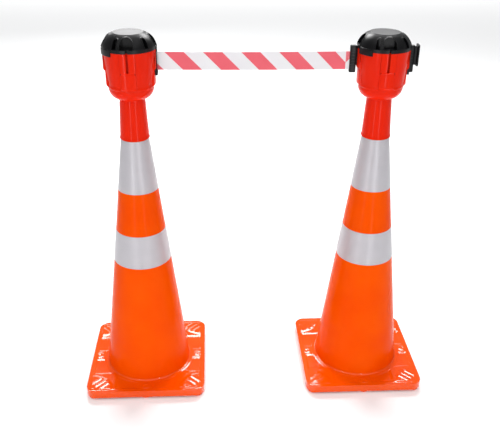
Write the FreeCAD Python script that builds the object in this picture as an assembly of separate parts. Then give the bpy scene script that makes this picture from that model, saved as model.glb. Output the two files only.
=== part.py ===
import FreeCAD, Part
import math
import os

# Belt barrier made of two traffic cones.  Each cone carries a push-on topper with a
# spring-wound belt in it; the left belt is drawn out and docked on the right topper.
# Millimetres, +Z up, origin on the floor midway between the cones, -Y is the front.
# Every topper shape is made about its own cone axis, with the belt outlet towards +X.

os.makedirs("parts", exist_ok=True)
V = FreeCAD.Vector

# ---- layout ---------------------------------------------------------------------------
CONE_SPACING = 680.0        # between the two cone axes
LEFT_X = -CONE_SPACING / 2
RIGHT_X = CONE_SPACING / 2

# ---- cone, a 36 inch soft PVC cone with its base moulded on --------------------------
BASE_SIDE = 362.0
BASE_CORNER_R = 40.0
BASE_TOP_Z = 30.0
FOOT_H = 4.0
FOOT_R = 17.0
FOOT_INSET = 26.0
BASE_EDGE_R = 9.0
CONE_BOTTOM_R = 131.0       # outside, where it leaves the base
CONE_TOP_R = 25.0
CONE_TOP_Z = 902.0
CONE_WALL = 3.4
CONE_SHOULDER = 5.0         # concave sweep between the base and the cone
LOWER_COLLAR = (406.0, 506.0)
UPPER_COLLAR = (634.0, 786.0)
COLLAR_T = 0.6

# ---- topper cup -----------------------------------------------------------------------
SLEEVE_BOTTOM_Z = 788.0
SLEEVE_LIP_R = 42.3
SLEEVE_TOP_Z = 901.0
SLEEVE_TOP_R = 35.1
SLEEVE_SKIRT_Z = 815.0      # below this the sleeve flares to follow the cone
SLEEVE_SKIRT_R = 38.6
SLEEVE_WALL = 2.1
SLEEVE_ROOF_Z = 903.5
SLEEVE_LIP_BORE = (39.7, 38.8)  # radius at the mouth and above the lip
SLEEVE_LIP_H = 5.5
SLEEVE_FINS = 6
FIN_T = 2.0
FIN_GAP = 0.4               # between the fins and the cone
CUP_FLOOR_Z = 906.5
BOWL_MIDDLE = (55.0, 913.5)     # radius and height halfway round the bowl, outside
BOWL_IN_MIDDLE = (52.5, 917.5)  # and inside
BOWL_TOP_Z = 938.0
BOWL_R = 61.5
BOWL_BEAD = 1.6             # soft ring where the bowl turns into the side
RIM_Z = 1036.0
RIM_R = 70.8
CUP_WALL = 3.2
PAD_WIDTH = 41.0
PAD_R = 71.5                # upper step of each pad
PAD_STEP_Z = 984.0
PAD_LOWER_R = 67.0

# ---- belt receivers, T slots in three of the four pads --------------------------------
RECEIVER_ANGLES = (180.0, 270.0, 90.0)
POCKET_WIDTH = 30.5
POCKET_OUT_R = 68.1
POCKET_IN_R = 61.9
POCKET_BACK_R = 59.9
POCKET_FLOOR_Z = 985.6
POCKET_WALL = 2.2
SLIT_WIDTH = 8.0

# ---- cap ------------------------------------------------------------------------------
CAP_R = 71.8
CAP_BAND_TOP_Z = 1046.0
CAP_TOP_Z = 1079.0
CAP_DISC_R = 42.0
CAP_SHOULDER = (63.0, 1062.5)   # radius and height halfway round the shoulder
CAP_WALL = 2.8
ARCH_HALF = 17.0
ARCH_HEIGHT = 28.0
ARCH_BACK_R = 47.0
ARCH_WALL = 2.3
NARROW_ARCH_ANGLES = (243.0, 315.0, 63.0, 135.0)
NARROW_ARCH_HALF = 5.5
NARROW_ARCH_BACK_R = 52.0
LUG_ANGLES = (215.0, 35.0)
LUG_SPAN = 36.0
LUG_PROUD = 2.5
LUG_IN_R = 71.1
LUG_Z = (1026.0, 1044.0)
SNAP_ANGLES = (45.0, 150.0, 225.0, 330.0)   # fingers that hold the cap in the cup
SNAP_R = (63.4, 65.2)
SNAP_HOOK = 0.8
SNAP_HALF = 6.0
SNAP_LOW_Z = 1026.0
SNAP_TOP_Z = 1045.0
SNAP_BRIDGE_R = 70.0

# ---- belt outlet ----------------------------------------------------------------------
LINER_HALF = 12.0
LINER_BOTTOM_Z = 965.0
LINER_TOP_Z = 1044.0
LINER_FACE_R = 72.8
CHANNEL_HALF = 8.0
CHANNEL_BACK_R = 63.0
LINER_BACK_R = 60.5
MOUTH_HALF = 1.5            # slit that the belt comes through
MOUTH_SPARE = 3.0           # above and below the belt

# ---- belt and clip --------------------------------------------------------------------
BELT_WIDTH = 48.0
BELT_MID_Z = 1002.0
BELT_T = 0.6
BELT_LOW_Z = BELT_MID_Z - BELT_WIDTH / 2
LEAD_END_R = 46.2
HEM_LENGTH = 10.0
HEM_T = 1.8
BAR_DEPTH = 18.0
BAR_WIDTH = 13.0
BAR_LOW_Z = 970.0
BAR_TOP_Z = 1043.0
WEB_LENGTH = 6.7
WEB_WIDTH = 4.5
FLANGE_WIDTH = 28.0
FLANGE_T = 3.2
FLANGE_LOW_Z = 987.0
FLANGE_TOP_Z = 1046.0
BAR_ROUND = 5.0             # upright edges of the bar
BAR_END_ROUND = 2.5
FLANGE_CORNER_R = 6.0
CLIP_PIN_R = 1.5
CLIP_PIN_INSET = 6.0
HEM_LOOP_R = 2.5
HEM_BORE_R = 3.1            # hole in the bar for the belt's loop
HEM_SLIT_HALF = 1.3
DOCK_GAP_R = 73.5           # near face of the bar, from the axis of the topper it docks on
STOWED_R = 66.5             # belt side of the bar when the belt is wound in

# ---- winding cassette -----------------------------------------------------------------
PLATE_R = 54.0
PLATE_T = 2.0
BASE_PLATE_Z = 944.0
TOP_PLATE_Z = 1032.0
SPOOL_X = -8.0
SHAFT_R = 4.0
SHAFT_FIT = 0.05
ARBOR_R = 7.5
DRUM_R = 34.0
DRUM_IN_R = 31.0
DRUM_LOW_Z = 948.5
SPOOL_DECK_Z = 975.0
SPOOL_DECK_T = 2.5
SPOOL_TOP_Z = 1031.0
SPOOL_FLANGE_T = 1.5
HUB_R = 20.0
HUB_HOLES = 6
HUB_HOLE_R = 4.6
HUB_HOLES_AT_R = 13.0
WINDING_R = 27.0
SPRING_TURNS = 8
SPRING_IN_R = 9.0
SPRING_OUT_R = 29.5
SPRING_T = 0.5
SPRING_WIDTH = 20.0
ROLLER_X = 46.0
ROLLER_R = 5.0
ROLLER_Y = 5.6
ROLLER_LOW_Z = 976.0
ROLLER_TOP_Z = 1028.0
ROLLER_PIN_R = 1.5
SPACER_AT_R = 49.0
SPACER_ANGLES = (50.0, 130.0, 230.0, 310.0)
SPACER_R = 3.2
SCREW_R = 1.5
BOSS_AT_R = 48.0
BOSS_ANGLES = (60.0, 180.0, 300.0)
BOSS_R = 4.5
BOSS_DEPTH = 33.0
BOSS_HOLE_DEPTH = 18.0
PLATE_WINDOW = (14.0, 44.0)     # inner and outer radius of the windows in the top plate
PLATE_WINDOW_SPAN = 66.0
PLATE_WINDOW_ANGLES = (90.0, 180.0, 270.0)
CIRCLIP_T = 1.2
CIRCLIP_DEPTH = 0.6
CIRCLIP_OUT = 2.4
BEYOND_R = 90.0             # cutters start outside every topper shape


# ---- small shape helpers --------------------------------------------------------------
def disc(radius, low, high, x=0.0, y=0.0):
    return Part.makeCylinder(radius, high - low, V(x, y, low))


def tube(outer, inner, low, high, x=0.0, y=0.0):
    return disc(outer, low, high, x, y).cut(disc(inner, low - 1, high + 1, x, y))


def block(x0, x1, y0, y1, z0, z1):
    return Part.makeBox(x1 - x0, y1 - y0, z1 - z0, V(x0, y0, z0))


def turned(shape, angle):
    """A copy of a shape made on the +X side, turned about the axis."""
    copy = shape.copy()
    copy.rotate(V(0, 0, 0), V(0, 0, 1), angle)
    return copy


def wedge(span, low, high):
    """A slice of pie centred on +X, to take a part of a turned shape."""
    return turned(Part.makeCylinder(BEYOND_R, high - low, V(0, 0, low), V(0, 0, 1), span), -span / 2)


def ring_of(shape, angles):
    return [turned(shape, angle) for angle in angles]


def joined(shapes):
    return shapes[0].multiFuse(shapes[1:]).removeSplitter() if len(shapes) > 1 else shapes[0]


def revolved(edges):
    """Turn a closed outline, drawn in the XZ plane, about the Z axis."""
    return Part.Face(Part.Wire(edges)).revolve(V(0, 0, 0), V(0, 0, 1), 360)


def at(radius, z):
    return V(radius, 0, z)


def line(a, b):
    return Part.LineSegment(a, b).toShape()


def arc(a, middle, b):
    return Part.Arc(a, middle, b).toShape()


def chain(points):
    return [line(a, b) for a, b in zip(points, points[1:])]


def on_circle(radius, angle):
    turn = math.radians(angle)
    return radius * math.cos(turn), radius * math.sin(turn)


def cone_radius(z):
    """Outside radius of the cone's straight flank."""
    slope = (CONE_BOTTOM_R - CONE_TOP_R) / (CONE_TOP_Z - BASE_TOP_Z)
    return CONE_BOTTOM_R - slope * (z - BASE_TOP_Z)


def rim_radius(z):
    """Outside radius of the cup's drafted side."""
    share = (z - BOWL_TOP_Z) / (RIM_Z - BOWL_TOP_Z)
    return BOWL_R + (RIM_R - BOWL_R) * share


# ---- the cone and its reflective collars ----------------------------------------------
def rounded_slab(side, corner, low, high):
    half = side / 2
    body = block(-half, half, -half, half, low, high)
    uprights = [e for e in body.Edges if abs(e.BoundBox.ZLength - (high - low)) < 0.01]
    return body.makeFillet(corner, uprights)


def make_cone():
    slab = rounded_slab(BASE_SIDE, BASE_CORNER_R, FOOT_H, BASE_TOP_Z)
    top_edges = [e for e in slab.Edges if e.BoundBox.ZMin > BASE_TOP_Z - 0.01]
    slab = slab.makeFillet(BASE_EDGE_R, top_edges)
    reach = BASE_SIDE / 2 - FOOT_INSET
    feet = [disc(FOOT_R, 0, FOOT_H + 1, reach * i, reach * j)
            for i in (-1, 0, 1) for j in (-1, 0, 1) if (i, j) != (0, 0)]
    shoulder = BASE_TOP_Z + CONE_SHOULDER
    foot_r = cone_radius(shoulder)
    out_r = foot_r + CONE_SHOULDER
    sweep = arc(at(out_r, BASE_TOP_Z), at(foot_r + 0.3 * CONE_SHOULDER, BASE_TOP_Z + 0.35 * CONE_SHOULDER),
                at(foot_r, shoulder))
    outside = chain([at(foot_r, shoulder), at(CONE_TOP_R, CONE_TOP_Z), at(0, CONE_TOP_Z),
                     at(0, FOOT_H), at(out_r, FOOT_H), at(out_r, BASE_TOP_Z)])
    hollow = revolved(chain([
        at(0, -1), at(cone_radius(-1) - CONE_WALL, -1),
        at(cone_radius(CONE_TOP_Z + 1) - CONE_WALL, CONE_TOP_Z + 1), at(0, CONE_TOP_Z + 1), at(0, -1)]))
    return joined([slab, revolved([sweep] + outside)] + feet).cut(hollow)


def make_collar(low, high):
    """A band of reflective film wrapped round the flank."""
    return revolved(chain([
        at(cone_radius(low), low), at(cone_radius(low) + COLLAR_T, low),
        at(cone_radius(high) + COLLAR_T, high), at(cone_radius(high), high), at(cone_radius(low), low)]))


# ---- topper cup -----------------------------------------------------------------------
def sleeve_fin():
    """One of the fins inside the sleeve that centre it on the cone."""
    low = SLEEVE_SKIRT_Z + 6
    top = SLEEVE_ROOF_Z + 0.5
    outline = chain([
        at(cone_radius(low) + FIN_GAP, low), at(SLEEVE_SKIRT_R - SLEEVE_WALL + 0.2, low),
        at(SLEEVE_TOP_R - SLEEVE_WALL + 0.4, top), at(cone_radius(SLEEVE_ROOF_Z) + FIN_GAP, top),
        at(cone_radius(low) + FIN_GAP, low)])
    fin = Part.Face(Part.Wire(outline)).extrude(V(0, FIN_T, 0))
    fin.translate(V(0, -FIN_T / 2, 0))
    return fin


def receiver_block():
    """The box behind a pad that the T slot is moulded in."""
    half = POCKET_WIDTH / 2 + POCKET_WALL
    low = POCKET_FLOOR_Z - POCKET_WALL
    return block(POCKET_BACK_R, BEYOND_R, -half, half, low, RIM_Z).common(disc(PAD_R, low, RIM_Z))


def receiver_slot(low, high):
    """The T slot itself: a wide pocket with a slit through its outer wall."""
    half = POCKET_WIDTH / 2
    pocket = block(POCKET_IN_R, POCKET_OUT_R, -half, half, low, high)
    slit = block(POCKET_OUT_R - 1, BEYOND_R, -SLIT_WIDTH / 2, SLIT_WIDTH / 2, low, high)
    return pocket.fuse(slit)


def pad():
    half = PAD_WIDTH / 2
    inside = BOWL_R - 2 * CUP_WALL

    def step(radius, low, high):
        return block(inside, BEYOND_R, -half, half, low, high).common(disc(radius, low, high))

    return step(PAD_R, PAD_STEP_Z, RIM_Z).fuse(step(PAD_LOWER_R, BOWL_TOP_Z, PAD_STEP_Z))


def make_cup():
    lip = SLEEVE_BOTTOM_Z
    outer = chain([at(0, lip), at(SLEEVE_LIP_R - 0.8, lip), at(SLEEVE_LIP_R, lip + 1.2),
                   at(SLEEVE_LIP_R, lip + SLEEVE_LIP_H), at(SLEEVE_SKIRT_R + 2.2, lip + SLEEVE_LIP_H + 3),
                   at(SLEEVE_SKIRT_R, SLEEVE_SKIRT_Z), at(SLEEVE_TOP_R, SLEEVE_TOP_Z)])
    bowl = arc(at(SLEEVE_TOP_R, SLEEVE_TOP_Z), at(*BOWL_MIDDLE), at(BOWL_R, BOWL_TOP_Z - 4))
    bead_r = BOWL_R + BOWL_BEAD
    upper = chain([at(BOWL_R, BOWL_TOP_Z - 4), at(bead_r, BOWL_TOP_Z - 1.5), at(bead_r, BOWL_TOP_Z + 1.5),
                   at(rim_radius(BOWL_TOP_Z + 4), BOWL_TOP_Z + 4),
                   at(RIM_R, RIM_Z), at(0, RIM_Z), at(0, lip)])
    body = revolved(outer + [bowl] + upper)

    inner_bowl_r = BOWL_R - CUP_WALL
    inside = revolved(
        chain([at(0, CUP_FLOOR_Z), at(SLEEVE_TOP_R - CUP_WALL, CUP_FLOOR_Z)])
        + [arc(at(SLEEVE_TOP_R - CUP_WALL, CUP_FLOOR_Z), at(*BOWL_IN_MIDDLE), at(inner_bowl_r, BOWL_TOP_Z))]
        + chain([at(inner_bowl_r, BOWL_TOP_Z), at(rim_radius(RIM_Z + 1) - CUP_WALL, RIM_Z + 1),
                 at(0, RIM_Z + 1), at(0, CUP_FLOOR_Z)]))
    mouth_r, above_lip_r = SLEEVE_LIP_BORE
    sleeve_bore = revolved(chain([
        at(0, lip - 1), at(mouth_r, lip - 1), at(above_lip_r, lip + 9),
        at(SLEEVE_SKIRT_R - SLEEVE_WALL, SLEEVE_SKIRT_Z), at(SLEEVE_TOP_R - SLEEVE_WALL, SLEEVE_ROOF_Z),
        at(0, SLEEVE_ROOF_Z), at(0, lip - 1)]))

    body = joined([body] + ring_of(pad(), RECEIVER_ANGLES + (0.0,))).cut(inside).cut(sleeve_bore)
    bosses = []
    for angle in BOSS_ANGLES:
        x, y = on_circle(BOSS_AT_R, angle)
        bosses.append(disc(BOSS_R, BASE_PLATE_Z - BOSS_DEPTH, BASE_PLATE_Z, x, y))
    fins = ring_of(sleeve_fin(), [i * 360 / SLEEVE_FINS for i in range(SLEEVE_FINS)])
    body = joined([body] + bosses + fins + ring_of(receiver_block(), RECEIVER_ANGLES))
    for angle in BOSS_ANGLES:
        x, y = on_circle(BOSS_AT_R, angle)
        body = body.cut(disc(SCREW_R, BASE_PLATE_Z - BOSS_HOLE_DEPTH, BASE_PLATE_Z + 1, x, y))
    for slot in ring_of(receiver_slot(POCKET_FLOOR_Z, RIM_Z + 1), RECEIVER_ANGLES):
        body = body.cut(slot)
    inside_wall = BOWL_R - 2 * CUP_WALL
    return body.cut(block(inside_wall, BEYOND_R, -LINER_HALF, LINER_HALF, LINER_BOTTOM_Z, RIM_Z + 1))


# ---- cap ------------------------------------------------------------------------------
def arch(half, height, back_r, wall=0.0):
    """An upright round-topped recess, cut inwards from the outside as far as back_r.
    With a wall it is the same recess grown by the plastic around it."""
    centre = CAP_BAND_TOP_Z + height - half
    span = half + wall
    leg = block(back_r - wall, BEYOND_R, -span, span, CAP_BAND_TOP_Z - wall, centre)
    crown = Part.makeCylinder(span, BEYOND_R - back_r + wall, V(back_r - wall, 0, centre), V(1, 0, 0))
    return leg.fuse(crown)


def dome(skin):
    """The cap's full body, made smaller all over by skin."""
    band_r = CAP_R - skin
    top = CAP_TOP_Z - skin
    low = RIM_Z - (1 if skin else 0)
    side = chain([at(0, low), at(band_r, low), at(band_r, CAP_BAND_TOP_Z - 1)])
    middle_r, middle_z = CAP_SHOULDER
    shoulder = arc(at(band_r, CAP_BAND_TOP_Z - 1), at(middle_r - 0.8 * skin, middle_z - 0.7 * skin),
                   at(CAP_DISC_R, top - 1))
    crown = chain([at(CAP_DISC_R, top - 1), at(CAP_DISC_R - 3, top), at(0, top), at(0, low)])
    return revolved(side + [shoulder] + crown)


def make_cap():
    wide_angles = RECEIVER_ANGLES + (0.0,)
    narrow_height = ARCH_HEIGHT - 3

    def arches(wall):
        wide = arch(ARCH_HALF, ARCH_HEIGHT, ARCH_BACK_R, wall)
        narrow = arch(NARROW_ARCH_HALF, narrow_height, NARROW_ARCH_BACK_R, wall)
        return ring_of(wide, wide_angles) + ring_of(narrow, NARROW_ARCH_ANGLES)

    core = dome(CAP_WALL)
    for tool in arches(ARCH_WALL):
        core = core.cut(tool)
    shell = dome(0).cut(core)
    for tool in arches(0):
        shell = shell.cut(tool)
    for slot in ring_of(receiver_slot(RIM_Z - 1, CAP_BAND_TOP_Z + 1), RECEIVER_ANGLES):
        shell = shell.cut(slot)
    gap_half = LINER_HALF + 0.2
    shell = shell.cut(block(ARCH_BACK_R, BEYOND_R, -gap_half, gap_half, RIM_Z - 1, CAP_BAND_TOP_Z + 1))

    low, high = LUG_Z
    lug = tube(CAP_R + LUG_PROUD, LUG_IN_R, low, high).common(wedge(LUG_SPAN, low, high))
    inner, outer = SNAP_R
    finger = block(inner, outer, -SNAP_HALF, SNAP_HALF, SNAP_LOW_Z, SNAP_TOP_Z)
    hook = block(outer - 0.2, outer + SNAP_HOOK, -SNAP_HALF, SNAP_HALF, SNAP_LOW_Z, SNAP_LOW_Z + 3)
    bridge = block(inner, SNAP_BRIDGE_R, -SNAP_HALF, SNAP_HALF, SNAP_TOP_Z - 2, SNAP_TOP_Z)
    fingers = [shape for part in (finger.fuse(hook), bridge) for shape in ring_of(part, SNAP_ANGLES)]
    return joined([shell] + ring_of(lug, LUG_ANGLES) + fingers)


def make_outlet_liner():
    """The black insert that the belt comes out of and the clip's bar rests in."""
    body = block(LINER_BACK_R, LINER_FACE_R, -LINER_HALF + 0.1, LINER_HALF - 0.1,
                 LINER_BOTTOM_Z + 0.1, LINER_TOP_Z)
    channel = block(CHANNEL_BACK_R, BEYOND_R, -CHANNEL_HALF, CHANNEL_HALF,
                    LINER_BOTTOM_Z + 3, LINER_TOP_Z + 1)
    mouth = block(LINER_BACK_R - 1, BEYOND_R, -MOUTH_HALF, MOUTH_HALF,
                  BELT_LOW_Z - MOUTH_SPARE, BELT_LOW_Z + BELT_WIDTH + MOUTH_SPARE)
    return body.cut(channel).cut(mouth)


# ---- winding cassette -----------------------------------------------------------------
def plate(low):
    body = disc(PLATE_R, low, low + PLATE_T)
    body = body.cut(disc(SHAFT_R, low - 1, low + 5, SPOOL_X))
    for side in (-1, 1):
        body = body.cut(disc(ROLLER_PIN_R, low - 1, low + 5, ROLLER_X, side * ROLLER_Y))
    for angle in SPACER_ANGLES:
        x, y = on_circle(SPACER_AT_R, angle)
        body = body.cut(disc(SCREW_R, low - 1, low + 5, x, y))
    return body


def make_base_plate():
    body = plate(BASE_PLATE_Z)
    for angle in BOSS_ANGLES:
        x, y = on_circle(BOSS_AT_R, angle)
        body = body.cut(disc(SCREW_R + 0.4, BASE_PLATE_Z - 1, BASE_PLATE_Z + 5, x, y))
    return body


def make_top_plate():
    """Same disc as the base plate, with windows to the spool."""
    body = plate(TOP_PLATE_Z)
    low, high = TOP_PLATE_Z - 1, TOP_PLATE_Z + 5
    inner, outer = PLATE_WINDOW
    window = tube(outer, inner, low, high).common(wedge(PLATE_WINDOW_SPAN, low, high))
    for piece in ring_of(window, PLATE_WINDOW_ANGLES):
        body = body.cut(piece)
    return body


def make_spacers():
    return Part.makeCompound([
        tube(SPACER_R, SCREW_R, BASE_PLATE_Z + PLATE_T, TOP_PLATE_Z, *on_circle(SPACER_AT_R, angle))
        for angle in SPACER_ANGLES])


def pan_screw(x, y, under_head, length, head_r, head_h):
    """Pan-head screw pointing down, with a cross recess."""
    head = disc(head_r, under_head, under_head + head_h, x, y)
    crown = [edge for edge in head.Edges if edge.BoundBox.ZMin > under_head + head_h - 0.01]
    head = head.makeFillet(0.35 * head_h, crown)
    for length_x, length_y in ((1.6, 0.35), (0.35, 1.6)):
        recess = block(x - length_x, x + length_x, y - length_y, y + length_y,
                       under_head + 0.5 * head_h, under_head + head_h + 1)
        head = head.cut(recess)
    return head.fuse(disc(SCREW_R, under_head - length, under_head, x, y))


def make_plate_screws():
    return Part.makeCompound([
        pan_screw(*on_circle(SPACER_AT_R, angle), TOP_PLATE_Z + PLATE_T, 12, 2.9, 2.0)
        for angle in SPACER_ANGLES])


def make_cassette_screws():
    return Part.makeCompound([
        pan_screw(*on_circle(BOSS_AT_R, angle), BASE_PLATE_Z + PLATE_T, 16, 3.3, 2.2)
        for angle in BOSS_ANGLES])


def make_shaft():
    """Spool shaft, with the arbor that anchors the spring and a groove for the circlip."""
    top = TOP_PLATE_Z + PLATE_T
    body = disc(SHAFT_R, BASE_PLATE_Z, top + CIRCLIP_T + 2, SPOOL_X)
    body = body.fuse(disc(ARBOR_R, BASE_PLATE_Z + PLATE_T, SPOOL_DECK_Z - 0.4, SPOOL_X))
    return body.cut(tube(SHAFT_R + 1, SHAFT_R - CIRCLIP_DEPTH, top, top + CIRCLIP_T, SPOOL_X))


def make_circlip():
    top = TOP_PLATE_Z + PLATE_T
    ring = tube(SHAFT_R + CIRCLIP_OUT, SHAFT_R - CIRCLIP_DEPTH, top, top + CIRCLIP_T, SPOOL_X)
    return ring.cut(block(SPOOL_X, SPOOL_X + 10, -1.6, 1.6, top - 1, top + 3))


def make_spool():
    """Nylon spool: belt hub and flanges above, spring drum below."""
    bore = SHAFT_R + SHAFT_FIT
    drum = tube(DRUM_R, DRUM_IN_R, DRUM_LOW_Z, SPOOL_DECK_Z, SPOOL_X)
    deck = disc(DRUM_R, SPOOL_DECK_Z, SPOOL_DECK_Z + SPOOL_DECK_T, SPOOL_X)
    flange = disc(DRUM_R, SPOOL_TOP_Z - SPOOL_FLANGE_T, SPOOL_TOP_Z, SPOOL_X)
    hub = disc(HUB_R, SPOOL_DECK_Z, SPOOL_TOP_Z, SPOOL_X)
    body = joined([drum, deck, flange, hub])
    for i in range(HUB_HOLES):
        x, y = on_circle(HUB_HOLES_AT_R, 360 * i / HUB_HOLES)
        body = body.cut(disc(HUB_HOLE_R, SPOOL_DECK_Z + SPOOL_DECK_T, SPOOL_TOP_Z + 1, SPOOL_X + x, y))
    return body.cut(disc(bore, SPOOL_DECK_Z - 1, SPOOL_TOP_Z + 1, SPOOL_X))


def make_spring_cover():
    return tube(DRUM_IN_R, ARBOR_R + 0.6, DRUM_LOW_Z, DRUM_LOW_Z + 1.5, SPOOL_X)


def make_belt_winding():
    """The turns of belt that are still on the spool, as one ring."""
    return tube(WINDING_R, HUB_R, BELT_LOW_Z, BELT_LOW_Z + BELT_WIDTH, SPOOL_X)


def make_power_spring():
    """Flat steel spiral between the arbor and the drum."""
    steps = SPRING_TURNS * 16

    def spiral(offset):
        points = []
        for i in range(steps + 1):
            share = i / steps
            radius = SPRING_IN_R + (SPRING_OUT_R - SPRING_IN_R) * share + offset
            x, y = on_circle(radius, 360 * SPRING_TURNS * share)
            points.append(V(SPOOL_X + x, y, DRUM_LOW_Z + 3))
        curve = Part.BSplineCurve()
        curve.interpolate(points)
        return curve.toShape(), points[0], points[-1]

    inner, inner_start, inner_end = spiral(-SPRING_T / 2)
    outer, outer_start, outer_end = spiral(SPRING_T / 2)
    outline = Part.Wire([inner, line(inner_end, outer_end), outer, line(outer_start, inner_start)])
    return Part.Face(outline).extrude(V(0, 0, SPRING_WIDTH))


def make_roller(side):
    return tube(ROLLER_R, ROLLER_PIN_R + 0.06, ROLLER_LOW_Z, ROLLER_TOP_Z, ROLLER_X, side * ROLLER_Y)


def make_roller_pins():
    return Part.makeCompound([
        disc(ROLLER_PIN_R, BASE_PLATE_Z, TOP_PLATE_Z + PLATE_T, ROLLER_X, side * ROLLER_Y)
        for side in (-1, 1)])


def make_belt_lead():
    """Belt from the winding, round the rear roller, to just inside the outlet."""
    gap = 0.35
    wind_r = WINDING_R + gap + BELT_T / 2
    turn_r = ROLLER_Y
    across = ROLLER_X - SPOOL_X
    distance = math.hypot(across, ROLLER_Y)
    heading = math.atan2(ROLLER_Y, across) - math.asin((wind_r + turn_r) / distance)
    along = V(math.cos(heading), math.sin(heading), 0)
    left = V(-along.y, along.x, 0)
    z = BELT_LOW_Z
    start = V(SPOOL_X, 0, z) + left * wind_r
    bend_in = V(ROLLER_X, ROLLER_Y, z) - left * turn_r
    centre = V(ROLLER_X, ROLLER_Y, z)
    middle_angle = (heading - math.pi / 2 - math.pi / 2) / 2

    def side_edges(offset):
        a = start + left * offset
        b = bend_in + left * offset
        radius = turn_r - offset
        mid = centre + V(math.cos(middle_angle), math.sin(middle_angle), 0) * radius
        c = V(ROLLER_X, ROLLER_Y - radius, z)
        d = V(LEAD_END_R, ROLLER_Y - radius, z)
        return [line(a, b), arc(b, mid, c), line(c, d)], a, d

    near, near_a, near_d = side_edges(BELT_T / 2)
    far, far_a, far_d = side_edges(-BELT_T / 2)
    outline = Part.Wire(near + [line(near_d, far_d)] + far[::-1] + [line(far_a, near_a)])
    return Part.Face(outline).extrude(V(0, 0, BELT_WIDTH))


# ---- belt end and clip ----------------------------------------------------------------
# These are made with the belt side of the clip's bar at x = 0, pointing to +X.
def make_clip():
    half = BAR_WIDTH / 2
    bar = block(0, BAR_DEPTH, -half, half, BAR_LOW_Z, BAR_TOP_Z)
    bar = bar.makeFillet(BAR_ROUND, [e for e in bar.Edges if e.BoundBox.ZLength > 10])
    bar = bar.makeFillet(BAR_END_ROUND, [e for e in bar.Edges if e.BoundBox.ZLength < 0.01])
    web = block(BAR_DEPTH - 2, BAR_DEPTH + WEB_LENGTH + 0.5, -WEB_WIDTH / 2, WEB_WIDTH / 2,
                FLANGE_LOW_Z + 3, FLANGE_TOP_Z - 6)
    face = BAR_DEPTH + WEB_LENGTH
    flange = block(face, face + FLANGE_T, -FLANGE_WIDTH / 2, FLANGE_WIDTH / 2, FLANGE_LOW_Z, FLANGE_TOP_Z)
    corners = [e for e in flange.Edges if abs(e.BoundBox.XLength - FLANGE_T) < 0.01]
    flange = flange.makeFillet(FLANGE_CORNER_R, corners)
    body = joined([bar, web, flange])
    belt_top = BELT_LOW_Z + BELT_WIDTH
    body = body.cut(disc(HEM_BORE_R, BELT_LOW_Z - 1, belt_top + 1, CLIP_PIN_INSET))
    body = body.cut(block(-1, CLIP_PIN_INSET, -HEM_SLIT_HALF, HEM_SLIT_HALF, BELT_LOW_Z - 1, belt_top + 1))
    return body.cut(disc(CLIP_PIN_R, BAR_LOW_Z - 1, belt_top + 4, CLIP_PIN_INSET))


def make_clip_pin():
    return disc(CLIP_PIN_R, BAR_LOW_Z + 1, BELT_LOW_Z + BELT_WIDTH + 4, CLIP_PIN_INSET)


def make_belt_hem():
    """The belt's end, folded round the clip's pin and stitched to itself."""
    half = HEM_T / 2
    top = BELT_LOW_Z + BELT_WIDTH
    tail = block(-HEM_LENGTH, CLIP_PIN_INSET, -half, half, BELT_LOW_Z, top)
    loop = disc(HEM_LOOP_R, BELT_LOW_Z, top, CLIP_PIN_INSET)
    pin_hole = disc(CLIP_PIN_R + 0.1, BELT_LOW_Z - 1, top + 1, CLIP_PIN_INSET)
    return tail.fuse(loop).cut(pin_hole).removeSplitter()


def make_belt(start_x, end_x):
    return block(start_x, end_x, -BELT_T / 2, BELT_T / 2, BELT_LOW_Z, BELT_LOW_Z + BELT_WIDTH)


def placed(shape, x):
    copy = shape.copy()
    copy.translate(V(x, 0, 0))
    return copy


# ---- write one file for each piece ----------------------------------------------------
TOPPER_AND_CONE = {
    "cone": make_cone(),
    "lower_collar": make_collar(*LOWER_COLLAR),
    "upper_collar": make_collar(*UPPER_COLLAR),
    "cup": make_cup(),
    "cap": make_cap(),
    "outlet_liner": make_outlet_liner(),
    "base_plate": make_base_plate(),
    "top_plate": make_top_plate(),
    "spacers": make_spacers(),
    "plate_screws": make_plate_screws(),
    "cassette_screws": make_cassette_screws(),
    "shaft": make_shaft(),
    "circlip": make_circlip(),
    "spool": make_spool(),
    "spring_cover": make_spring_cover(),
    "power_spring": make_power_spring(),
    "belt_winding": make_belt_winding(),
    "front_roller": make_roller(-1),
    "rear_roller": make_roller(1),
    "roller_pins": make_roller_pins(),
    "belt_lead": make_belt_lead(),
}
BELT_END = {
    "clip": make_clip(),
    "clip_pin": make_clip_pin(),
    "belt_hem": make_belt_hem(),
}
DOCKED_X = RIGHT_X - DOCK_GAP_R - BAR_DEPTH
STOWED_X = RIGHT_X + STOWED_R

nodes = {}
for side, axis_x, clip_x in (("left", LEFT_X, DOCKED_X), ("right", RIGHT_X, STOWED_X)):
    for name, shape in TOPPER_AND_CONE.items():
        nodes[side + "_" + name] = placed(shape, axis_x)
    for name, shape in BELT_END.items():
        nodes[side + "_" + name] = placed(shape, clip_x)
    nodes[side + "_belt"] = make_belt(axis_x + LEAD_END_R + 0.1, clip_x - HEM_LENGTH)

for name, shape in nodes.items():
    shape.exportStep("parts/" + name + ".step")
    box = shape.BoundBox
    print(f"{name:24s} solids {len(shape.Solids)} valid {shape.isValid()} "
          f"volume {shape.Volume / 1000:9.2f} cm3 z {box.ZMin:7.1f} to {box.ZMax:7.1f}")
print(f"clip travel when the left belt is wound in: {DOCKED_X - LEFT_X - STOWED_R:.1f} mm")
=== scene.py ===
import math

import bmesh
import bpy
from mathutils import Matrix, Vector


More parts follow.
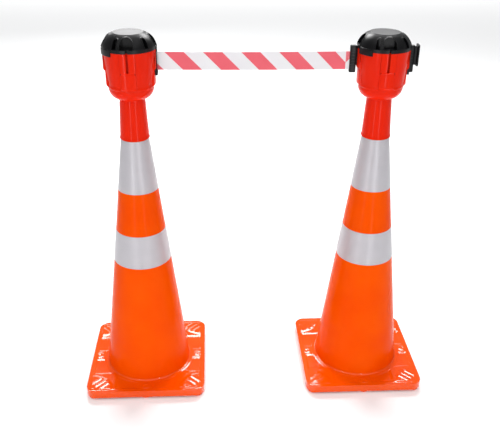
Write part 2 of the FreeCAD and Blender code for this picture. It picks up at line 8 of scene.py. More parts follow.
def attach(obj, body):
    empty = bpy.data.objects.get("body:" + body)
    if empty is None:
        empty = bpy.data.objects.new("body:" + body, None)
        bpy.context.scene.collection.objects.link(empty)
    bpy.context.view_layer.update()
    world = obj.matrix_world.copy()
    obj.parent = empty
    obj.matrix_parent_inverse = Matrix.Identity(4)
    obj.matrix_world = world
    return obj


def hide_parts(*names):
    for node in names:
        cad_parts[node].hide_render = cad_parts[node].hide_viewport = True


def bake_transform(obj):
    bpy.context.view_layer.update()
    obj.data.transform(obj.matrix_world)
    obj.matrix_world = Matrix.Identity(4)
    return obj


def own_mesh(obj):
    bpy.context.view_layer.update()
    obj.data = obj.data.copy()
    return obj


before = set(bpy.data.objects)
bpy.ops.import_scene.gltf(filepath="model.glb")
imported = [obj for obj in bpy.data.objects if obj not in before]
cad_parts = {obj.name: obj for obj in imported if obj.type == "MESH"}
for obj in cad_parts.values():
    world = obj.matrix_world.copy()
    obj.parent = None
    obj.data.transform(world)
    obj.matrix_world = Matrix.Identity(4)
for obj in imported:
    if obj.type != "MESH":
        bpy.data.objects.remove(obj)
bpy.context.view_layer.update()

# ---- Floor, light and camera ----------------------------------------------------------------------
# A white studio floor under broad light from above. Two bright windows stand behind and draw the white
# shapes in the gloss of the bases, a low panel lights the cap tops, and two thin strips stand in front.
MM = 0.001


def linear(code):
    """An sRGB hex colour as the linear values that a shader takes."""
    shares = [int(code[i:i + 2], 16) / 255 for i in (1, 3, 5)]
    return [s / 12.92 if s <= 0.04045 else ((s + 0.055) / 1.055) ** 2.4 for s in shares] + [1.0]


def wire(material, target, inputs):
    """Fill a node's sockets: another node's output is linked, anything else is the socket's own value."""
    for name, value in inputs.items():
        if isinstance(value, bpy.types.NodeSocket):
            material.node_tree.links.new(value, target.inputs[name])
        else:
            target.inputs[name].default_value = value


def node(material, kind, inputs, **settings):
    """Add a shader node with its settings and sockets."""
    made = material.node_tree.nodes.new("ShaderNode" + kind)
    for name, value in settings.items():
        setattr(made, name, value)
    wire(material, made, inputs)
    return made


def new_material(name):
    """A material under its common name, with its shader."""
    material = bpy.data.materials.new(name)
    material.use_nodes = True
    return material, material.node_tree.nodes["Principled BSDF"]


def softbox(name, width, height, place, aim, watts):
    """A rectangular white light, sizes in metres, turned towards the point that it lights."""
    lamp = bpy.data.lights.new(name, "AREA")
    lamp.shape, lamp.size, lamp.size_y, lamp.energy = "RECTANGLE", width, height, watts
    stand = bpy.data.objects.new(name, lamp)
    bpy.context.collection.objects.link(stand)
    stand.location = place
    stand.rotation_euler = (Vector(aim) - Vector(place)).to_track_quat("-Z", "Y").to_euler()


bpy.ops.object.select_all(action="DESELECT")
bpy.ops.mesh.primitive_plane_add(size=40, location=(0, 0, 0))
floor = bpy.context.object
floor.name = "floor"
floor_paint, shader = new_material("matt white floor paint")
wire(floor_paint, shader, {"Base Color": linear("#FAFAFA"), "Roughness": 0.9, "Specular IOR Level": 0.1})
floor.data.materials.append(floor_paint)

softbox("window_left", 1.0, 0.9, (-0.62, 2.2, 2.87), (-0.34, 0, 0.03), 65)
softbox("window_right", 1.0, 0.9, (0.88, 2.15, 2.87), (0.34, 0, 0.03), 65)
softbox("rear_panel", 2.0, 0.8, (-1.3, 4.6, 2.1), (-0.34, 0, 1.08), 23)
softbox("far_floor", 12.0, 6.0, (0, 10.5, 3.0), (0, 10.5, 0), 300)
softbox("strip_left", 0.06, 1.3, (-1.05, -1.85, 0.66), (-0.34, 0, 0.8), 7)
softbox("strip_right", 0.06, 1.3, (0.62, -1.95, 0.66), (0.34, 0, 0.8), 7)
softbox("front_fill", 2.4, 2.4, (-0.6, -4.2, 2.2), (0, 0, 0.5), 4)
ceiling = bpy.data.objects.new("ceiling", bpy.data.lights.new("ceiling", "SUN"))
bpy.context.collection.objects.link(ceiling)
ceiling.data.energy, ceiling.data.angle = 1.5, math.radians(80)
ceiling.rotation_euler = (math.radians(24), 0, 0)

sky = bpy.data.worlds.new("studio")
bpy.context.scene.world = sky
sky.use_nodes = True
sky.node_tree.nodes["Background"].inputs["Color"].default_value = linear("#F4F6F8")
sky.node_tree.nodes["Background"].inputs["Strength"].default_value = 0.3
bpy.context.scene.view_settings.view_transform = "Standard"

CAMERA_PLACE = (-0.12334, -1.86326, 1.48334)
TURNED_RIGHT, TILTED_DOWN, LEANING = 3.335, 27.124, 0.729      # degrees
lens = bpy.data.cameras.new("camera")
lens.sensor_fit, lens.sensor_width, lens.lens = "HORIZONTAL", 36, 50.49
camera = bpy.data.objects.new("camera", lens)
bpy.context.collection.objects.link(camera)
camera.matrix_world = (Matrix.Translation(CAMERA_PLACE)
                       @ Matrix.Rotation(-math.radians(TURNED_RIGHT), 4, "Z")
                       @ Matrix.Rotation(math.radians(90 - TILTED_DOWN), 4, "X")
                       @ Matrix.Rotation(math.radians(LEANING), 4, "Z"))
bpy.context.scene.camera = camera

# ---- Traffic cones --------------------------------------------------------------------------------
# Each cone is one soft PVC moulding, base and flank together, hollow from below and open at the tip.
# The base stands on eight feet; its top has ribs across the corners and a round knob on each side.
LEFT, RIGHT = -340, 340                  # mm, the two cones' axes
BASE_HALF, BASE_CORNER, BASE_TOP, BASE_UNDER = 181, 32, 30, 7
FOOT_RADIUS, FOOT_TALL, CORNER_FEET_IN, SIDE_FEET_IN = 17, 10, 23, 20
FLANK_FOOT, FLANK_TIP = (131, 30), (25, 902)
FLANK_WALL = 3.4
EDGE_ZONE, MIDDLE_ZONE = 0.17, 0.15      # metres from the axis: only the base's edge lies beyond the first
RIB_GAP, RIB_WIDTH, RIB_START, RIB_END = 17, 4.0, (172, 184), (226, 214)
CORNER_AT, CORNER_FADE = 170, (72, 60)
KNOB_AT, KNOB_RING, KNOB_WIDTH = 160, 9, 3.2
PANEL_START, PANEL_END, PANEL_EDGE = (20, 27), (96, 88), (12, 18)
RIBS_UP, CORNER_UP, KNOB_UP, PANEL_DOWN, WAVE_UP = 0.7, 1.6, 1.3, 1.4, 0.8


def flank(height):
    """Outside radius of the cone's straight side."""
    (low_r, low_z), (tip_r, tip_z) = FLANK_FOOT, FLANK_TIP
    return low_r + (tip_r - low_r) * (height - low_z) / (tip_z - low_z)


def edit(piece):
    """Open one piece in edit mode with nothing selected."""
    bpy.ops.object.select_all(action="DESELECT")
    bpy.context.view_layer.objects.active = piece
    piece.select_set(True)
    bpy.ops.object.mode_set(mode="EDIT")
    bpy.ops.mesh.select_all(action="DESELECT")


def close():
    bpy.ops.object.mode_set(mode="OBJECT")


def pick(piece, kind, test):
    """In edit mode, select only the verts, edges or faces that pass the test."""
    bpy.ops.mesh.select_mode(type=kind)
    bpy.ops.mesh.select_all(action="DESELECT")
    mesh = bmesh.from_edit_mesh(piece.data)
    for part in {"VERT": mesh.verts, "EDGE": mesh.edges, "FACE": mesh.faces}[kind]:
        part.select_set(test(part))
    bmesh.update_edit_mesh(piece.data)


def middle(edge):
    return (edge.verts[0].co + edge.verts[1].co) / 2


def draw_ring(outline, start):
    """Carry the selected ring of edges from its (radius, height) in mm through more such points."""
    radius, level = start
    for next_radius, next_level in outline:
        rise = (0, 0, (next_level - level) * MM)
        bpy.ops.mesh.extrude_region_move(TRANSFORM_OT_translate={"value": rise})
        share = next_radius / radius
        if abs(share - 1) > 1e-6:
            bpy.ops.transform.resize(value=(share, share, 1), center_override=(0, 0, next_level * MM))
        radius, level = next_radius, next_level


def fix_modifier(piece, change):
    bpy.ops.object.select_all(action="DESELECT")
    bpy.context.view_layer.objects.active = piece
    piece.select_set(True)
    bpy.ops.object.modifier_apply(modifier=change.name)


def smooth(piece, angle=32):
    bpy.ops.object.select_all(action="DESELECT")
    bpy.context.view_layer.objects.active = piece
    piece.select_set(True)
    bpy.ops.object.shade_smooth_by_angle(angle=math.radians(angle))


def emboss(piece, height, peak):
    """Raise and sink a surface by a height in mm that depends on the place, up to the peak."""
    for sign in (1, -1):
        group = piece.vertex_groups.new(name="relief")
        for vertex in piece.data.vertices:
            share = sign * height(vertex.co / MM) / peak
            if share > 0.001:
                group.add([vertex.index], min(share, 1), "REPLACE")
        relief = piece.modifiers.new("relief", "DISPLACE")
        relief.vertex_group, relief.direction = group.name, "Z"
        relief.mid_level, relief.strength = 0, sign * peak * MM
        fix_modifier(piece, relief)
        piece.vertex_groups.clear()


def copied(piece, name, shift_x):
    """A copy with its own mesh, moved along X by some millimetres."""
    bpy.ops.object.select_all(action="DESELECT")
    twin = piece.copy()
    twin.data = piece.data.copy()
    twin.name = twin.data.name = name
    bpy.context.collection.objects.link(twin)
    bpy.context.view_layer.objects.active = twin
    twin.select_set(True)
    twin.location.x = shift_x * MM
    bpy.ops.object.transform_apply(location=True)
    return twin


def soft_step(value, low, high):
    share = max(0.0, min(1.0, (value - low) / (high - low)))
    return share * share * (3 - 2 * share)


def base_relief(place):
    """Height in mm of the moulded relief on top of the base."""
    x, y, z = place
    if z < BASE_TOP - 0.5 or z > BASE_TOP + 0.5:
        return 0
    across, along = (abs(x) - abs(y)) / math.sqrt(2), (abs(x) + abs(y)) / math.sqrt(2)
    edge = BASE_HALF - max(abs(x), abs(y))
    inside = soft_step(edge, 9, 15) * soft_step(math.hypot(x, y), 137, 146)
    ribs = sum(math.exp(-((across - at) / RIB_WIDTH) ** 2) for at in (-RIB_GAP, 0, RIB_GAP))
    ribs *= soft_step(along, *RIB_START) * soft_step(along, *RIB_END)
    corner = soft_step(math.hypot(abs(x) - CORNER_AT, abs(y) - CORNER_AT), *CORNER_FADE)
    knob_x, knob_y = (abs(x) - KNOB_AT, abs(y)) if abs(x) > abs(y) else (abs(x), abs(y) - KNOB_AT)
    knob = math.exp(-((math.hypot(knob_x, knob_y) - KNOB_RING) / KNOB_WIDTH) ** 2)
    run = min(abs(x), abs(y))
    panel = soft_step(run, *PANEL_START) * soft_step(run, *PANEL_END) * soft_step(edge, *PANEL_EDGE)
    wave = 0.55 * math.sin(x / 19 + 1.3 * math.sin(y / 31)) + 0.45 * math.sin(y / 23 + x / 47 + 0.8)
    return inside * (RIBS_UP * ribs + CORNER_UP * corner + KNOB_UP * knob - PANEL_DOWN * panel
                     + WAVE_UP * wave)


bpy.ops.object.select_all(action="DESELECT")
bpy.ops.mesh.primitive_plane_add(size=2 * BASE_HALF * MM, location=(0, 0, BASE_TOP * MM))
cone = bpy.context.object
bpy.ops.object.transform_apply(location=True)
edit(cone)
bpy.ops.mesh.select_mode(type="VERT")
bpy.ops.mesh.select_all(action="SELECT")
bpy.ops.mesh.bevel(offset=BASE_CORNER * MM, segments=32, affect="VERTICES")
pick(cone, "EDGE", lambda edge: edge.calc_length() > 0.1)
bpy.ops.mesh.subdivide(number_cuts=63)
bpy.ops.mesh.select_all(action="SELECT")
bpy.ops.mesh.delete(type="ONLY_FACE")
sweep_out = flank(35) + 5
bpy.ops.mesh.primitive_circle_add(vertices=384, radius=sweep_out * MM, location=(0, 0, BASE_TOP * MM))
bpy.ops.mesh.select_all(action="SELECT")
bpy.ops.mesh.bridge_edge_loops(number_cuts=44, interpolation="LINEAR")
pick(cone, "EDGE", lambda edge: edge.is_boundary and middle(edge).to_2d().length > EDGE_ZONE)
bpy.ops.mesh.extrude_region_move(TRANSFORM_OT_translate={"value": (0, 0, (BASE_UNDER - BASE_TOP) * MM)})
pick(cone, "EDGE", lambda edge: not edge.is_boundary and middle(edge).to_2d().length > EDGE_ZONE
     and len({face.normal.z > 0.5 for face in edge.link_faces}) == 2
     and abs(middle(edge).z - BASE_TOP * MM) < 1e-5)
bpy.ops.mesh.bevel(offset=5.5 * MM, segments=6, affect="EDGES")
pick(cone, "EDGE", lambda edge: edge.is_boundary and middle(edge).to_2d().length < MIDDLE_ZONE)
draw_ring([(flank(35) + 2.6, 30.5), (flank(35) + 1.1, 32), (flank(35) + 0.2, 34)]
          + [(flank(z), z) for z in range(37, 900, 72)]
          + [(flank(900), 900), (flank(901) - 0.4, 901.3), (24, 902), (22.8, 902), (22, 901.4), (21.7, 900)]
          + [(flank(z) - FLANK_WALL, z) for z in (760, 520, 280, 90, BASE_UNDER)], (sweep_out, BASE_TOP))
pick(cone, "EDGE", lambda edge: edge.is_boundary)
bpy.ops.mesh.bridge_edge_loops(number_cuts=3, interpolation="LINEAR")
for across in (-1, 0, 1):
    for deep in (-1, 0, 1):
        if (across, deep) != (0, 0):
            reach = (BASE_HALF - (CORNER_FEET_IN if across and deep else SIDE_FEET_IN)) * MM
            bpy.ops.mesh.select_all(action="DESELECT")
            bpy.ops.mesh.primitive_cylinder_add(vertices=36, radius=FOOT_RADIUS * MM, depth=FOOT_TALL * MM,
                                                location=(across * reach, deep * reach, FOOT_TALL / 2 * MM))
pick(cone, "EDGE", lambda edge: edge.calc_length() < 4 * MM and middle(edge).z < 0.001)
bpy.ops.mesh.bevel(offset=1.6 * MM, segments=3, affect="EDGES")
bpy.ops.mesh.select_all(action="SELECT")
bpy.ops.mesh.normals_make_consistent(inside=False)
close()
emboss(cone, base_relief, 4)
smooth(cone, 40)

# Glossy flexible PVC, moulded: saturated orange with slightly cloudy pigment. The base's mould is polished,
# so the base shines sharply, with a faint ripple; the flank is softer.
soft_pvc, shader = new_material("glossy soft PVC")
place = node(soft_pvc, "TexCoord", {}).outputs["Object"]
cloud = node(soft_pvc, "TexNoise", {"Vector": place, "Scale": 9.0, "Detail": 3.0, "Roughness": 0.5})
pigment = node(soft_pvc, "ValToRGB", {"Fac": cloud.outputs["Fac"]})
for stop, shade in zip(pigment.color_ramp.elements, ("#EA4900", "#EE5300")):
    stop.color = linear(shade)
pigment.color_ramp.elements[0].position, pigment.color_ramp.elements[1].position = 0.3, 0.7
peel = node(soft_pvc, "TexNoise", {"Vector": place, "Scale": 1 / (14 * MM), "Detail": 2.0})
ripple = node(soft_pvc, "Bump", {"Height": peel.outputs["Fac"], "Strength": 0.12, "Distance": 1.2 * MM})
wear = node(soft_pvc, "MapRange", {"Value": cloud.outputs["Fac"], "To Min": 0.14, "To Max": 0.26})
height = node(soft_pvc, "SeparateXYZ", {"Vector": place}).outputs["Z"]
polish = node(soft_pvc, "MapRange", {"Value": height, "From Min": (BASE_TOP + 8) * MM,
                                     "From Max": (BASE_TOP + 4) * MM})
wire(soft_pvc, shader, {"Base Color": pigment.outputs["Color"], "Roughness": wear.outputs["Result"],
                        "Normal": ripple.outputs["Normal"], "IOR": 1.5, "Specular IOR Level": 0.03,
                        "Coat Weight": polish.outputs["Result"], "Coat Roughness": 0.04, "Coat IOR": 1.42,
                        "Coat Normal": ripple.outputs["Normal"]})
cone.data.materials.append(soft_pvc)
for side, axis in (("left", LEFT), ("right", RIGHT)):
    piece = copied(cone, side + "_traffic_cone", axis)
    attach(piece, "cones")
    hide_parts(side + "_cone")
bpy.data.objects.remove(cone, do_unlink=True)

# ---- Reflective collars ---------------------------------------------------------------------------
# Two bands of silver retroreflective film are wrapped round each cone, 100 mm and 150 mm wide, and
# lap over themselves at the back. The film's glass beads lie in fine sealed cells.
COLLARS = {"lower": (406, 506), "upper": (634, 786)}
FILM, LAP, LAP_RAISED = 0.6, 12, 0.3
FILM_CELL = 5                            # mm between the seal lines; 3 on the real film, too fine to show


def turned(name, outline, steps=96, ring=True):
    """A solid of revolution about Z: one ring of edges drawn through (radius, height) points in mm.
    It is closed on itself as a ring, or filled at both ends."""
    bpy.ops.object.select_all(action="DESELECT")
    radius, height = outline[0]
    bpy.ops.mesh.primitive_circle_add(vertices=steps, radius=radius * MM, location=(0, 0, height * MM),
                                      rotation=(0, 0, math.pi / steps))
    piece = bpy.context.object
    piece.name = name
    bpy.ops.object.transform_apply(location=True, rotation=True)
    edit(piece)
    bpy.ops.mesh.select_mode(type="EDGE")
    bpy.ops.mesh.select_all(action="SELECT")
    draw_ring(outline[1:] + outline[:1] if ring else outline[1:], outline[0])
    bpy.ops.mesh.select_all(action="SELECT")
    if ring:
        bpy.ops.mesh.remove_doubles(threshold=1e-6)
    else:
        foot = outline[0][1] * MM
        pick(piece, "EDGE", lambda edge: edge.is_boundary and abs(middle(edge).z - foot) < 1e-6)
        bpy.ops.mesh.edge_face_add()
        pick(piece, "EDGE", lambda edge: edge.is_boundary)
        bpy.ops.mesh.edge_face_add()
    bpy.ops.mesh.select_all(action="SELECT")
    bpy.ops.mesh.normals_make_consistent(inside=False)
    close()
    return piece


def fresh_uv(piece, name, place_of):
    """The piece's only UV map: place_of gives each corner's point on the flat sheet, in metres."""
    while piece.data.uv_layers:
        piece.data.uv_layers.remove(piece.data.uv_layers[0])
    layer = piece.data.uv_layers.new(name=name)
    for face in piece.data.polygons:
        centre = face.center
        for i in face.loop_indices:
            layer.data[i].uv = place_of(piece.data.vertices[piece.data.loops[i].vertex_index].co, centre)


# Retroreflective sheeting: soft grey-violet silver with no sharp shine, under a faint net of seal lines.
film, shader = new_material("retroreflective sheeting")
place = node(film, "TexCoord", {}).outputs["UV"]
seal_lines = []
for turn in (30, 90, 150):
    laid = node(film, "Mapping", {"Vector": place, "Rotation": (0, 0, math.radians(turn))})
    line = node(film, "TexWave", {"Vector": laid.outputs["Vector"], "Scale": math.pi / (10 * FILM_CELL * MM)})
    seal = node(film, "MapRange", {"Value": line.outputs["Fac"], "From Min": 0.9})
    seal_lines.append(seal.outputs["Result"])
net = node(film, "Math", {0: seal_lines[0], 1: seal_lines[1]}, operation="MAXIMUM")
net = node(film, "Math", {0: net.outputs["Value"], 1: seal_lines[2]}, operation="MAXIMUM")
grain = node(film, "TexNoise", {"Vector": place, "Scale": 40.0, "Detail": 4.0})
tone = node(film, "ValToRGB", {"Fac": grain.outputs["Fac"]})
for stop, shade in zip(tone.color_ramp.elements, ("#ABA8AD", "#BAB7BC")):
    stop.color = linear(shade)
faded = node(film, "Math", {0: net.outputs["Value"], 1: 0.35}, operation="MULTIPLY")
marked = node(film, "Mix", {"Factor": faded.outputs["Value"], 6: tone.outputs["Color"],
                            7: linear("#D2CFD4")}, data_type="RGBA")
raised = node(film, "Bump", {"Height": net.outputs["Value"], "Strength": 0.15, "Distance": 0.2 * MM})
wire(film, shader, {"Base Color": marked.outputs[2], "Roughness": 0.42, "Metallic": 0.25,
                    "Normal": raised.outputs["Normal"], "Coat Weight": 0.1, "Coat Roughness": 0.25})

for band, (low, high) in COLLARS.items():
    wall = [(flank(low) + 0.05, low), (flank(low) + FILM, low + 0.1), (flank(high) + FILM, high - 0.1),
            (flank(high) + 0.05, high)]
    collar = turned("collar", wall, steps=192)
    edit(collar)
    pick(collar, "FACE", lambda face: face.normal.to_2d().length > 0.9 and face.calc_center_median().y > 0
         and 0 < face.calc_center_median().x < LAP * MM
         and face.normal.to_2d().dot(face.calc_center_median().to_2d()) > 0)
    bpy.ops.mesh.extrude_region_shrink_fatten(TRANSFORM_OT_shrink_fatten={"value": LAP_RAISED * MM})
    close()
    mean = flank((low + high) / 2) * MM
    fresh_uv(collar, "wrap", lambda point, centre: (
        mean * (math.atan2(centre.y, centre.x) - centre.to_2d().angle_signed(point.to_2d(), 0)), point.z))
    smooth(collar)
    collar.data.materials.append(film)
    for side, axis in (("left", LEFT), ("right", RIGHT)):
        piece = copied(collar, f"{side}_{band}_film", axis)
        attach(piece, "cones")
        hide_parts(f"{side}_{band}_collar")
    bpy.data.objects.remove(collar, do_unlink=True)

# ---- Topper cups ----------------------------------------------------------------------------------
# One red ABS moulding: a sleeve that pushes over the cone's tip, a bowl, and a cup with a two-step pad
# on each of four sides. Three pads have a T slot for a belt clip; the fourth is cut out for the belt.
FRONT_BACK_OUTER = (180, 270, 90)
RIM = 1036
SLOT_FLOOR, SLOT_HALF, SLIT_HALF = 985.6, 15.25, 2.9


def box(name, x, y, z):
    """A plain block between the given millimetre limits, used as a tool on other shapes."""
    bpy.ops.object.select_all(action="DESELECT")
    bpy.ops.mesh.primitive_cube_add(size=MM, location=[sum(limits) / 2 * MM for limits in (x, y, z)],
                                    scale=[limits[1] - limits[0] for limits in (x, y, z)])
    piece = bpy.context.object
    piece.name = name
    bpy.ops.object.transform_apply(location=True, scale=True)
    return piece


def combine(piece, tool, how):
    """Join, cut or intersect a solid with a tool, which is used up."""
    change = piece.modifiers.new(how, "BOOLEAN")
    change.operation, change.solver, change.object = how, "EXACT", tool
    fix_modifier(piece, change)
    bpy.data.objects.remove(tool, do_unlink=True)


def joined(pieces):
    """Several separate shapes as one object."""
    bpy.ops.object.select_all(action="DESELECT")
    for piece in pieces:
        piece.select_set(True)
    bpy.context.view_layer.objects.active = pieces[0]
    bpy.ops.object.join()
    return bpy.context.object


def spread(piece, angles):
    """The shape made on the +X side, repeated at these angles about Z as one object."""
    pieces = []
    for angle in angles:
        twin = copied(piece, piece.name, 0)
        twin.rotation_euler.z = math.radians(angle)
        bpy.ops.object.transform_apply(rotation=True)
        pieces.append(twin)
    bpy.data.objects.remove(piece, do_unlink=True)
    return joined(pieces)


def round_edges(piece, width, segments=2, angle=32):
    """Break every sharp edge with a small radius, as a mould does."""
    edge = piece.modifiers.new("edge", "BEVEL")
    edge.width, edge.segments, edge.limit_method = width * MM, segments, "ANGLE"
    edge.angle_limit, edge.use_clamp_overlap = math.radians(angle), False
    fix_modifier(piece, edge)
    smooth(piece, angle)
    even = piece.modifiers.new("even", "WEIGHTED_NORMAL")
    even.keep_sharp, even.weight = True, 60
    fix_modifier(piece, even)


def arc(start, through, end, steps):
    """Points of the arc through three (radius, height) points, without its start."""
    (ax, ay), (bx, by), (cx, cy) = start, through, end
    a_square, b_square, c_square = ax * ax + ay * ay, bx * bx + by * by, cx * cx + cy * cy
    d = 2 * (ax * (by - cy) + bx * (cy - ay) + cx * (ay - by))
    ux = (a_square * (by - cy) + b_square * (cy - ay) + c_square * (ay - by)) / d
    uy = (a_square * (cx - bx) + b_square * (ax - cx) + c_square * (bx - ax)) / d
    radius = math.hypot(ax - ux, ay - uy)
    first, last = math.atan2(ay - uy, ax - ux), math.atan2(cy - uy, cx - ux)
    turn = (last - first + math.pi) % (2 * math.pi) - math.pi
    return [(ux + radius * math.cos(first + turn * i / steps),
             uy + radius * math.sin(first + turn * i / steps)) for i in range(1, steps + 1)]


def cut_t_slots(piece, low, high):
    """Cut the pockets for a clip's T flange, and the slits for its web, into three sides."""
    pocket = box("pocket", (61.9, 68.1), (-SLOT_HALF, SLOT_HALF), (low, high))
    combine(piece, spread(pocket, FRONT_BACK_OUTER), "DIFFERENCE")
    slit = box("slit", (67, 90), (-SLIT_HALF, SLIT_HALF), (low, high))
    combine(piece, spread(slit, FRONT_BACK_OUTER), "DIFFERENCE")


bowl = arc((35.1, 901), (55, 913.5), (61.5, 934), 12)
cup = turned("cup", [(41.0, 788), (41.7, 788.5), (41.9, 789.8), (41.8, 791.6), (41.2, 793), (40.7, 795.5),
                     (40.3, 800), (39.5, 815), (35.1, 899), (35.6, 901.6), (37.6, 903)] + bowl[1:]
             + [(62.6, 935.4), (63.1, 937.4), (62.9, 939.6), (62.1, 941.6), (62.2, 946), (70.8, RIM)],
             ring=False)
pad = turned("pad", [(50, 936), (61.5, 936), (66.2, 940.5), (67, 943), (67, 980.5), (70.6, 984.2),
                     (71.5, 986.5), (71.5, RIM), (50, RIM)])
combine(pad, box("width", (50, 90), (-20.5, 20.5), (930, 1040)), "INTERSECT")
combine(cup, spread(pad, (0, 90, 180, 270)), "UNION")
inside = [(31.9, 906.5)] + arc((31.9, 906.5), (52.5, 917.5), (58.3, 938), 10) + [(68, 1040)]
combine(cup, turned("inside", inside, ring=False), "DIFFERENCE")
housing = turned("housing", [(59.9, SLOT_FLOOR - 2.2), (68.3, SLOT_FLOOR - 2.2), (68.3, RIM), (59.9, RIM)])
combine(housing, box("width", (50, 90), (-17.4, 17.4), (980, 1040)), "INTERSECT")
combine(cup, spread(housing, FRONT_BACK_OUTER), "UNION")
fins = turned("fins", [(flank(821) + 0.5, 821), (37.2, 821), (34.2, 904.5), (flank(903) + 0.5, 904.5)])
combine(fins, spread(box("width", (10, 60), (-1, 1), (800, 920)), range(15, 375, 60)), "INTERSECT")
combine(cup, turned("bore", [(39.7, 780), (39.7, 788), (38.8, 797), (36.5, 815), (33, 903.5)], ring=False),
        "DIFFERENCE")
combine(cup, fins, "UNION")
cut_t_slots(cup, SLOT_FLOOR, 1040)
combine(cup, box("outlet", (55, 90), (-12, 12), (965, 1040)), "DIFFERENCE")
round_edges(cup, 0.7)

# Injection-moulded ABS in signal red: even colour, a clear gloss and very slight sink ripples.
red_abs, shader = new_material("red ABS, moulded")
place = node(red_abs, "TexCoord", {}).outputs["Object"]
cloud = node(red_abs, "TexNoise", {"Vector": place, "Scale": 14.0, "Detail": 2.0})
pigment = node(red_abs, "ValToRGB", {"Fac": cloud.outputs["Fac"]})
for stop, shade in zip(pigment.color_ramp.elements, ("#DC1F08", "#E0270B")):
    stop.color = linear(shade)
sink = node(red_abs, "TexNoise", {"Vector": place, "Scale": 1 / (18 * MM), "Detail": 1.0})
ripple = node(red_abs, "Bump", {"Height": sink.outputs["Fac"], "Strength": 0.1, "Distance": 1.0 * MM})
wear = node(red_abs, "MapRange", {"Value": cloud.outputs["Fac"], "To Min": 0.1, "To Max": 0.16})
wire(red_abs, shader, {"Base Color": pigment.outputs["Color"], "Roughness": wear.outputs["Result"],
                       "Normal": ripple.outputs["Normal"], "IOR": 1.53, "Specular IOR Level": 0.06})
cup.data.materials.append(red_abs)
for side, axis in (("left", LEFT), ("right", RIGHT)):
    piece = copied(cup, side + "_topper_cup", axis)
    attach(piece, side + "_topper")
    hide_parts(side + "_cup")
bpy.data.objects.remove(cup, do_unlink=True)

# ---- Caps -----------------------------------------------------------------------------------------
# A black ABS dome that snaps into the cup. A round-topped recess leads a clip into each T slot, four
# narrow ones lie between them, all with a thin raised frame, and two lugs lock it to the cup's rim.
BAND = 1046                              # top of the cap's straight band
NARROW = (243, 315, 63, 135)


def dome(name, skin):
    """The cap's full body, smaller all over by the skin, in mm."""
    band, top = 71.8 - skin, 1079 - skin
    shoulder = arc((band, BAND - 1), (63 - 0.8 * skin, 1062.5 - 0.7 * skin), (42.5, top - 1.2), 12)
    low = RIM - 1 if skin > 0 else RIM
    crown = [(42, top - 0.9), (41, top - 0.1), (40, top), (12, top)]
    return turned(name, [(band, low), (band, BAND - 1)] + shoulder + crown, ring=False)


def arch(half, height, back, grown=0.0):
    """A round-topped upright block from the recess's back out past the cap, grown on all sides in mm."""
    span = half + grown
    block = box("arch", (back - grown, 90), (-span, span), (BAND - grown, BAND + height + grown))
    edit(block)
    pick(block, "EDGE", lambda edge: abs(middle(edge).y) > (span - 0.1) * MM
         and middle(edge).z > (BAND + 5) * MM and abs(edge.verts[0].co.x - edge.verts[1].co.x) > 5 * MM)
    bpy.ops.mesh.bevel(offset=(span - 0.05) * MM, segments=12, affect="EDGES")
    close()
    return block


def arches(grown=0.0):
    wide = spread(arch(17, 28, 47, grown), (0,) + FRONT_BACK_OUTER)
    return joined([wide, spread(arch(5.5, 25, 52, grown), NARROW)])


cap = dome("cap", 0)
frames = dome("frames", -1.1)
combine(frames, arches(1.9), "INTERSECT")
combine(cap, frames, "UNION")
combine(cap, arches(), "DIFFERENCE")
lug = turned("lug", [(71, 1026), (74, 1026), (74.3, 1027), (74.3, 1041.5), (73.4, 1043.4), (71, 1044)])
slice_half = 71 * math.tan(math.radians(18))
combine(lug, box("width", (60, 90), (-slice_half, slice_half), (1020, 1050)), "INTERSECT")
combine(cap, spread(lug, (215, 35)), "UNION")
cut_t_slots(cap, 1030, BAND + 0.5)
combine(cap, box("outlet", (47, 90), (-12.2, 12.2), (1030, BAND + 0.5)), "DIFFERENCE")
round_edges(cap, 0.35)

# Black ABS from a lightly blasted mould: a satin skin, greyer where it is rubbed, with fine grain.
black_abs, shader = new_material("black ABS, satin moulded")
place = node(black_abs, "TexCoord", {}).outputs["Object"]
rub = node(black_abs, "TexNoise", {"Vector": place, "Scale": 22.0, "Detail": 4.0})
tone = node(black_abs, "ValToRGB", {"Fac": rub.outputs["Fac"]})
for stop, shade in zip(tone.color_ramp.elements, ("#060607", "#0E0E10")):
    stop.color = linear(shade)
# the blasted grain is 0.3 mm, drawn 1 mm so that it shows
blast = node(black_abs, "TexNoise", {"Vector": place, "Scale": 1 / (1.0 * MM), "Detail": 1.0})
grain = node(black_abs, "Bump", {"Height": blast.outputs["Fac"], "Strength": 0.1, "Distance": 0.15 * MM})
wear = node(black_abs, "MapRange", {"Value": rub.outputs["Fac"], "To Min": 0.28, "To Max": 0.42})
wire(black_abs, shader, {"Base Color": tone.outputs["Color"], "Roughness": wear.outputs["Result"],
                         "Normal": grain.outputs["Normal"], "IOR": 1.53, "Specular IOR Level": 0.22})
cap.data.materials.append(black_abs)
for side, axis in (("left", LEFT), ("right", RIGHT)):
    piece = copied(cap, side + "_topper_cap", axis)
    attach(piece, side + "_topper")
    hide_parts(side + "_cap")
bpy.data.objects.remove(cap, do_unlink=True)

# ---- Belt outlets ---------------------------------------------------------------------------------
# A black ABS liner is pushed into the fourth pad from above. The belt comes out through its slit, and
# the clip's bar rests in its channel when the belt is wound in.
BELT_LOW, BELT_HIGH = 978, 1026
liner = box("liner", (60.5, 72.8), (-11.9, 11.9), (965.1, 1044))
combine(liner, box("channel", (63, 90), (-8, 8), (968, 1050)), "DIFFERENCE")
combine(liner, box("mouth", (50, 90), (-1.5, 1.5), (BELT_LOW - 3, BELT_HIGH + 3)), "DIFFERENCE")
round_edges(liner, 0.7, segments=3)
liner.data.materials.append(black_abs)
for side, axis in (("left", LEFT), ("right", RIGHT)):
    piece = copied(liner, side + "_belt_outlet", axis)
    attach(piece, side + "_topper")
    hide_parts(side + "_outlet_liner")
bpy.data.objects.remove(liner, do_unlink=True)

